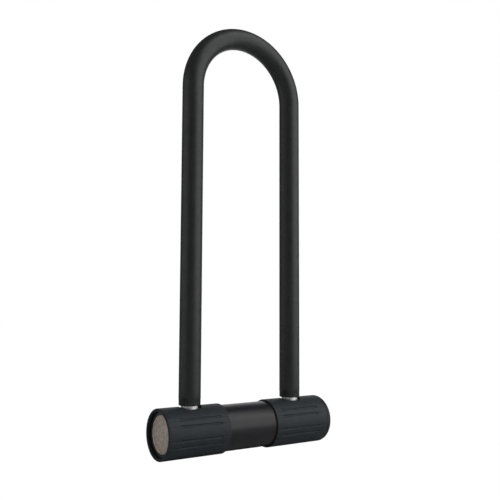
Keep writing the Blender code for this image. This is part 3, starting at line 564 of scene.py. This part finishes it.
def shackle_cover():
    """Vinyl sheath with a moulded band, and a fine line behind it, at each end."""
    band = COVER_RADIUS - BAND_STEP
    start = [(0.0, COVER_BORE)] + arc(COVER_LIP, band - COVER_LIP, COVER_LIP, 180, 90, 5)
    start += [(BAND_HEIGHT - BAND_LINE, band), (BAND_HEIGHT, COVER_RADIUS - BAND_STEP / 2)]
    start += [(BAND_HEIGHT + BAND_LINE, COVER_RADIUS - 2 * BAND_STEP)]
    start += [(BAND_HEIGHT + BAND_SHOULDER, COVER_RADIUS)]
    outer = start + [(s, COVER_RADIUS) for s in bend_stations()]
    outer += [(PATH_LENGTH - s, r) for s, r in reversed(start)]
    inner = [(s, COVER_BORE) for s in reversed(bend_stations())]
    place(sweep("cover_skin", outer + inner, True, FINISHES["vinyl"]), "shackle_cover", "shackle")


def shackle_bar():
    foot = COVER_LOW.z - STEEL_LOW.z
    corners = [(0.0, 0.0), (0.0, STEEL_RADIUS - FOOT_CHAMFER)]
    corners += [(FOOT_CHAMFER, STEEL_RADIUS), (FOOT_END, STEEL_RADIUS)]
    edge = fillet(corners, FOOT_EDGE, closed=False)
    left = [(s - foot, r) for s, r in edge]
    right = [(PATH_LENGTH + foot - s, r) for s, r in reversed(edge)]
    middle = [(s, STEEL_RADIUS) for s in bend_stations()]
    bar = sweep("steel_bar", left + middle + right, False, FINISHES["steel"])
    for x in (-LEG_X, LEG_X):
        boolean(bar, bar_passage(x, BAR_RADIUS + FIT, STEEL_RADIUS + BEYOND))
    place(bar, "shackle_bar", "shackle")


# Crossbar ---------------------------------------------------------------------------------------------
GROOVE_ANGLES = (-24.0, -8.5, 22.5, 38.0)    # degrees above the front; the same again behind
GROOVE_START, GROOVE_END = 1.40 * MM, 0.90 * MM      # half widths at the two ends
GROOVE_DEEP, GROOVE_SHALLOW = 0.95 * MM, 0.80 * MM
DIMPLE_FADE, DEPTH_FADE = 14, 10      # the dimple's extra width and depth end 1/14 and 1/10 of the way along
TAIL_START, TAIL_LOSS = 1.15, 0.3     # the tail's first width, in GROOVE_END, and how much of it is lost
COLUMN_STEP = 0.16 * MM               # between the mesh's columns across a groove
COLUMN_CLEARANCE = 0.02               # radians between those columns and the even ones
LEFT_ROUNDINGS = (0.9 * MM, 0.55 * MM)
RIGHT_ROUNDINGS = (0.25 * MM, 0.2 * MM)
LIP_ROUNDING = 0.4 * MM
TUBE_EDGE = 0.4 * MM
SOCKET_GAP = 0.35 * MM                # around a foot
SOCKET_MOUTH = 0.6 * MM
SOCKET_FOOT = 1 * MM                  # chamfer round a socket's bottom
WINDOW_GAP = 0.4 * MM                 # around the locking bar
WIPER_GAP = 0.2 * MM
WIPER_MOUTH = 0.3 * MM
LEFT_GROOVES = (LEFT_END + 12 * MM, LEFT_INNER - 8.2 * MM)
RIGHT_GROOVES = (RIGHT_INNER + 7.7 * MM, RIGHT_END - 10.0 * MM)


def both_sides(angles):
    return [radians(a) for a in angles] + [radians(180 - a) for a in angles]


def turn_between(a, b):
    return (a - b + pi) % (2 * pi) - pi


def groove_depth(x, angle, ends):
    """How far the sleeve's surface is sunk here. A groove starts as a round dimple and tapers off."""
    start, end = ends
    share = min(max((x - start) / (end - start), 0.0), 1.0)
    half = GROOVE_END + (GROOVE_START - GROOVE_END) * max(0.0, 1 - DIMPLE_FADE * share) ** 0.5
    half = max(half, GROOVE_END * (TAIL_START - TAIL_LOSS * share))
    deep = GROOVE_SHALLOW + (GROOVE_DEEP - GROOVE_SHALLOW) * max(0.0, 1 - DEPTH_FADE * share)
    beyond = max(start - x, 0.0, x - end)
    depth = 0.0
    for middle_angle in both_sides(GROOVE_ANGLES):
        distance = hypot(SLEEVE_RADIUS * turn_between(angle, middle_angle), beyond) / half
        if distance < 1:
            depth = max(depth, deep * (1 - distance * distance) ** 0.5)
    return depth


def sleeve_angles():
    """Columns every 3 degrees, with close ones across each groove."""
    near = [i * COLUMN_STEP / SLEEVE_RADIUS for i in range(-9, 10)]
    close = [(m + n) % (2 * pi) for m in both_sides(GROOVE_ANGLES) for n in near]
    spread = [a for a in even_angles(120) if all(abs(turn_between(a, c)) > COLUMN_CLEARANCE for c in close)]
    return sorted(close + spread)


def sleeve_rows(grooves):
    """Places along a sleeve for the mesh's rows, close at both ends of the grooves."""
    start, end = grooves
    near_start = [start + i * 0.2 * MM for i in range(-6, 14)]
    near_end = [end + i * 0.25 * MM for i in range(-4, 4)]
    stretch = near_end[0] - near_start[-1]
    return near_start + [near_start[-1] + stretch * i / 12 for i in range(1, 12)] + near_end


def sleeve(node, ends, roundings, grooves, foot_x, lip=()):
    """A grooved sleeve with a foot hole. lip is the profile of its left end where that isn't plain."""
    left, right = ends
    left_round, right_round = roundings
    inner = TUBE_RADIUS + FIT
    outer = arc(left + left_round, SLEEVE_RADIUS - left_round, left_round, 180, 90)
    outer += [(x, SLEEVE_RADIUS) for x in sleeve_rows(grooves)]
    outer += arc(right - right_round, SLEEVE_RADIUS - right_round, right_round, 90, 0)
    profile = outer + [(right, inner)] + (list(lip) or [(left, inner)])

    def sunk(x, radius, angle):
        return radius - groove_depth(x, angle, grooves) if radius > SLEEVE_RADIUS - TINY else radius

    made = lathe(f"{node}_skin", profile, FINISHES["sleeve_plastic"], angles=sleeve_angles(), shape=sunk)
    boolean(made, foot_hole(foot_x))
    place(made, node, "crossbar")


def sleeves():
    back = BEZEL_LEFT - FIT
    lip = [(back, TUBE_RADIUS + FIT), (back, LIP_RADIUS)]
    lip += arc(LEFT_END + LIP_ROUNDING, LIP_RADIUS + LIP_ROUNDING, LIP_ROUNDING, 270, 180)
    sleeve("left_sleeve", (LEFT_END, LEFT_INNER), LEFT_ROUNDINGS, LEFT_GROOVES, -LEG_X, lip)
    sleeve("right_sleeve", (RIGHT_INNER, RIGHT_END), RIGHT_ROUNDINGS, RIGHT_GROOVES, LEG_X)


def crossbar_tube():
    corners = [(TUBE_LEFT, TUBE_BORE), (TUBE_LEFT, TUBE_RADIUS)]
    corners += [(TUBE_RIGHT, TUBE_RADIUS), (TUBE_RIGHT, TUBE_BORE)]
    tube = lathe("tube_skin", fillet(corners, TUBE_EDGE), FINISHES["coated_tube"], angles=even_angles(144))
    for x in (-LEG_X, LEG_X):
        boolean(tube, foot_hole(x))
    place(tube, "crossbar_tube", "crossbar")


def foot_sockets():
    """A cup in each hole, with a window for the locking bar, and a rubber wiper on top of it."""
    bore = STEEL_RADIUS + SOCKET_GAP
    for side, x in (("left", -LEG_X), ("right", LEG_X)):
        low, high = box(f"{side}_foot_socket")
        bottom = STEEL_LOW.z - FIT
        corners = [(low.z, 0.0), (low.z, SOCKET_RADIUS - SOCKET_FOOT), (low.z + SOCKET_FOOT, SOCKET_RADIUS)]
        corners += [(high.z, SOCKET_RADIUS), (high.z, bore + SOCKET_MOUTH), (high.z - SOCKET_MOUTH, bore)]
        corners += [(bottom, bore), (bottom, 0.0)]
        cup = lathe(f"{side}_socket_cup", fillet(corners, 0.25 * MM, closed=False), FINISHES["acetal"],
                    "Z", (x, 0, 0), closed=False, angles=even_angles(64))
        boolean(cup, bar_passage(x, BAR_RADIUS + WINDOW_GAP, SOCKET_RADIUS + BEYOND))
        place(cup, f"{side}_foot_socket", "crossbar")
        low, high = box(f"{side}_wiper_ring")
        outer, inner = high.y, STEEL_RADIUS + WIPER_GAP
        corners = [(low.z, inner + WIPER_MOUTH), (low.z, outer), (high.z, outer), (high.z, inner)]
        ring = lathe(f"{side}_wiper", fillet(corners, 0.15 * MM), FINISHES["rubber"],
                     "Z", (x, 0, 0), angles=even_angles(64))
        place(ring, f"{side}_wiper_ring", "crossbar")


# Left end ---------------------------------------------------------------------------------------------
BEZEL_SEAT = 13.6 * MM        # radius of the shoulder behind the badge
BEZEL_SPIGOT = 14.4 * MM      # radius of the bezel's part inside the tube
BADGE_RIM = 0.8 * MM
BADGE_DISH = 0.18 * MM        # how far the badge's face lies below its rim
BADGE_SLOPE = 0.25 * MM


def left_end():
    """The bezel ring and the plain badge in it."""
    bore = BADGE_RADIUS + FIT
    shelf = BADGE_RIGHT + FIT
    shoulder = TUBE_LEFT - FIT
    corners = [(BEZEL_LEFT, bore), (BEZEL_LEFT, BEZEL_RADIUS), (shoulder, BEZEL_RADIUS)]
    corners += [(shoulder, BEZEL_SPIGOT), (BEZEL_RIGHT, BEZEL_SPIGOT), (BEZEL_RIGHT, BEZEL_SEAT)]
    corners += [(shelf, BEZEL_SEAT), (shelf, bore)]
    bezel = lathe("bezel", fillet(corners, 0.3 * MM), FINISHES["gloss_plastic"], angles=even_angles(128))
    place(bezel, "bezel_ring", "crossbar")

    rim = BADGE_RADIUS - BADGE_RIM
    dish = BADGE_LEFT + BADGE_DISH
    corners = [(BADGE_RIGHT, 0.0), (BADGE_RIGHT, BADGE_RADIUS), (BADGE_LEFT, BADGE_RADIUS), (BADGE_LEFT, rim)]
    corners += [(dish, rim - BADGE_SLOPE), (dish, 0.0)]
    badge = lathe("badge", fillet(corners, 0.15 * MM, closed=False), FINISHES["badge"], closed=False,
                  angles=even_angles(128))
    place(badge, "badge_disc", "crossbar")


# Right end --------------------------------------------------------------------------------------------
CAP_ROUNDING = 4.6 * MM
KEYHOLE = 4.2 * MM            # radius
CAP_EDGE = 0.2 * MM           # bevel of the cap's inner end
PLATE_GAP = 0.1 * MM          # behind the face plate
PLATE_CUT = 1 * MM            # how far a cutter passes the plate and the cap
PLATE_SLOT = (3.8 * MM, -3.8 * MM, 13.3 * MM)        # half width, bottom and top
POCKET_BELOW = 0.4 * MM       # room under the dust cover
POCKET_TOP = 14.7 * MM
SLIDE_THICKNESS = 1.0 * MM
SLIDE_BEVEL = 0.25 * MM
THUMB_RADIUS = 3.4 * MM
THUMB_ROOT = 0.4 * MM         # depth of the thumb piece in the slide
THUMB_RIB = 1.4 * MM          # between the thumb piece's grooves
THUMB_GROOVE = 0.4 * MM       # their radius
THUMB_GROOVE_OUT = 0.1 * MM   # how far their axes lie outside its face


def slot_outline(half_width, low, high, count=16):
    rise = [pi * i / count for i in range(count + 1)]
    top = [(half_width * cos(a), high - half_width + half_width * sin(a)) for a in rise]
    bottom = [(-half_width * cos(a), low + half_width - half_width * sin(a)) for a in rise]
    return top + bottom


def right_end():
    """The end cap, the face plate in it, and the dust cover with its ribbed thumb piece."""
    cover_low, cover_high = box("dust_cover")
    housing_right = box("cylinder_housing")[1].x + FIT
    shelf = PLATE_LEFT - PLATE_GAP
    recess = PLATE_RADIUS + FIT
    rounding = arc(CAP_RIGHT - CAP_ROUNDING, SLEEVE_RADIUS - CAP_ROUNDING, CAP_ROUNDING, 90, 0, 16)
    profile = [(CAP_LEFT, TUBE_BORE), (CAP_LEFT, SLEEVE_RADIUS - CAP_EDGE)]
    profile += [(CAP_LEFT + CAP_EDGE, SLEEVE_RADIUS)]
    profile += rounding + [(CAP_RIGHT, recess), (shelf, recess), (shelf, KEYHOLE)]
    profile += [(housing_right, KEYHOLE), (housing_right, TUBE_BORE)]
    cap = lathe("cap_skin", profile, FINISHES["sleeve_plastic"], angles=even_angles(128))
    pocket_low = (cover_low.x - FIT, cover_low.y - FIT, cover_low.z - POCKET_BELOW)
    pocket_high = (CAP_RIGHT + PLATE_CUT, cover_high.y + FIT, POCKET_TOP)
    boolean(cap, box_tool(pocket_low, pocket_high))
    place(cap, "end_cap", "crossbar")

    corners = [(PLATE_LEFT, 0.0), (PLATE_LEFT, PLATE_RADIUS), (PLATE_RIGHT, PLATE_RADIUS), (PLATE_RIGHT, 0.0)]
    plate = lathe("face_plate_skin", fillet(corners, 0.2 * MM, closed=False), FINISHES["zinc"], closed=False,
                  angles=even_angles(96))
    window = prism_tool(slot_outline(*PLATE_SLOT), PLATE_LEFT - PLATE_CUT, PLATE_RIGHT + PLATE_CUT)
    boolean(plate, window)
    place(plate, "end_face_plate", "crossbar")

    base_right = cover_low.x + SLIDE_THICKNESS
    cover = box_tool(cover_low, (base_right, cover_high.y, cover_high.z))
    cover.name = "dust_slide"
    cover.data.name = "dust_slide"
    cover.data.materials.append(FINISHES["gloss_plastic"])
    rounding = cover.modifiers.new("Bevel", "BEVEL")
    rounding.width = SLIDE_BEVEL
    rounding.segments = 3
    baked(cover)
    root, face = base_right - THUMB_ROOT, cover_high.x
    corners = [(root, 0.0), (root, THUMB_RADIUS), (face, THUMB_RADIUS), (face, 0.0)]
    knob = lathe("tool", fillet(corners, 0.35 * MM, closed=False), FINISHES["gloss_plastic"], closed=False,
                 angles=even_angles(64))
    x, y = face + THUMB_GROOVE_OUT, THUMB_RADIUS * 2
    for z in (-THUMB_RIB, 0.0, THUMB_RIB):
        boolean(knob, cylinder_tool(THUMB_GROOVE, (x, -y, z), (x, y, z), 24))
    boolean(cover, knob, "UNION")
    place(cover, "dust_cover", "dust_cover")


# Everything else keeps its CAD solid and gets its finish ----------------------------------------------
def dress_inside():
    for name, obj in frame["nodes"].items():
        obj.data.materials.clear()
        obj.data.materials.append(FINISHES[SLOTS[name]])


# Floor, light and camera ------------------------------------------------------------------------------
CAMERA_PLACE = Vector((-0.32710, -0.48315, 0.09637))
CAMERA_YAW, CAMERA_PITCH, CAMERA_ROLL = radians(34.72), radians(5.18), radians(0.22)
CAMERA_LENS = 48.73           # millimetres, on a 36 mm sensor
AIM = Vector((0, 0, 0.16))    # where the lights point, in the lock's own frame
SKY_COLOUR, SKY_STRENGTH = (0.90, 0.96, 1.0, 1), 0.11     # what lights the lock; the camera sees white
FLOOR_GREY = 0.62
FLOOR_GAP = 0.1 * MM          # under the crossbar
FLOOR_GLOW, FLOOR_GLOW_SHARE = 1.04, 0.97     # the white that the camera sees the floor as, and its share


def world():
    made = bpy.data.worlds.new("studio")
    bpy.context.scene.world = made
    made.use_nodes = True
    nodes, links = made.node_tree.nodes, made.node_tree.links
    seen = nodes["Background"]
    seen.inputs["Color"].default_value = (1, 1, 1, 1)
    seen.inputs["Strength"].default_value = 1.0
    unseen = nodes.new("ShaderNodeBackground")
    unseen.inputs["Color"].default_value = SKY_COLOUR
    unseen.inputs["Strength"].default_value = SKY_STRENGTH
    ray = nodes.new("ShaderNodeLightPath")
    mix = nodes.new("ShaderNodeMixShader")
    links.new(ray.outputs["Is Camera Ray"], mix.inputs[0])
    links.new(unseen.outputs[0], mix.inputs[1])
    links.new(seen.outputs[0], mix.inputs[2])
    links.new(mix.outputs[0], nodes["World Output"].inputs["Surface"])


def floor():
    bpy.ops.mesh.primitive_plane_add(size=8, location=(0, 0, HOME.z - SLEEVE_RADIUS - FLOOR_GAP))
    obj = bpy.context.object
    obj.name = "floor"
    paint = bpy.data.materials.new("pale_floor")
    paint.use_nodes = True
    nodes, links = paint.node_tree.nodes, paint.node_tree.links
    shader = nodes["Principled BSDF"]
    shader.inputs["Base Color"].default_value = (FLOOR_GREY, FLOOR_GREY, FLOOR_GREY, 1)
    shader.inputs["Roughness"].default_value = 0.9
    glow = nodes.new("ShaderNodeEmission")
    glow.inputs["Strength"].default_value = FLOOR_GLOW
    ray = nodes.new("ShaderNodeLightPath")
    share = nodes.new("ShaderNodeMath")
    share.operation = "MULTIPLY"
    share.inputs[1].default_value = FLOOR_GLOW_SHARE
    mix = nodes.new("ShaderNodeMixShader")
    links.new(ray.outputs["Is Camera Ray"], share.inputs[0])
    links.new(share.outputs[0], mix.inputs[0])
    links.new(shader.outputs[0], mix.inputs[1])
    links.new(glow.outputs[0], mix.inputs[2])
    links.new(mix.outputs[0], nodes["Material Output"].inputs["Surface"])
    obj.data.materials.append(paint)


def softbox(name, position, size, power):
    light = bpy.data.lights.new(name, "AREA")
    light.shape = "RECTANGLE"
    light.size, light.size_y = size
    light.energy = power
    obj = bpy.data.objects.new(name, light)
    bpy.context.scene.collection.objects.link(obj)
    obj.location = HOME + Vector(position)
    obj.rotation_euler = (AIM - Vector(position)).to_track_quat("-Z", "Y").to_euler()


def camera():
    yaw, pitch, roll = CAMERA_YAW, CAMERA_PITCH, CAMERA_ROLL
    ahead = Vector((sin(yaw) * cos(pitch), cos(yaw) * cos(pitch), sin(pitch)))
    right = Vector((cos(yaw), -sin(yaw), 0))
    up = right.cross(ahead)
    tilted_right = right * cos(roll) + up * sin(roll)
    tilted_up = up * cos(roll) - right * sin(roll)
    data = bpy.data.cameras.new("camera")
    data.lens = CAMERA_LENS
    data.sensor_width = 36.0
    data.clip_start = 0.01
    obj = bpy.data.objects.new("camera", data)
    bpy.context.scene.collection.objects.link(obj)
    turn = Matrix((tilted_right, tilted_up, -ahead)).transposed().to_4x4()
    obj.matrix_world = Matrix.Translation(HOME + CAMERA_PLACE) @ turn
    bpy.context.scene.camera = obj


dress_inside()
shackle_cover()
shackle_bar()
crossbar_tube()
sleeves()
foot_sockets()
left_end()
right_end()
world()
floor()
softbox("overhead", (0.35, -0.62, 1.05), (1.1, 0.7), 3.9)
softbox("right_side", (0.66, -0.72, 0.35), (1.35, 0.9), 5.1)
softbox("left_side", (-0.88, 0.22, 0.25), (1.2, 1.0), 2.2)
softbox("behind", (0.60, 0.86, 0.30), (0.9, 0.8), 2.0)
camera()
bpy.context.scene.view_settings.view_transform = "Standard"
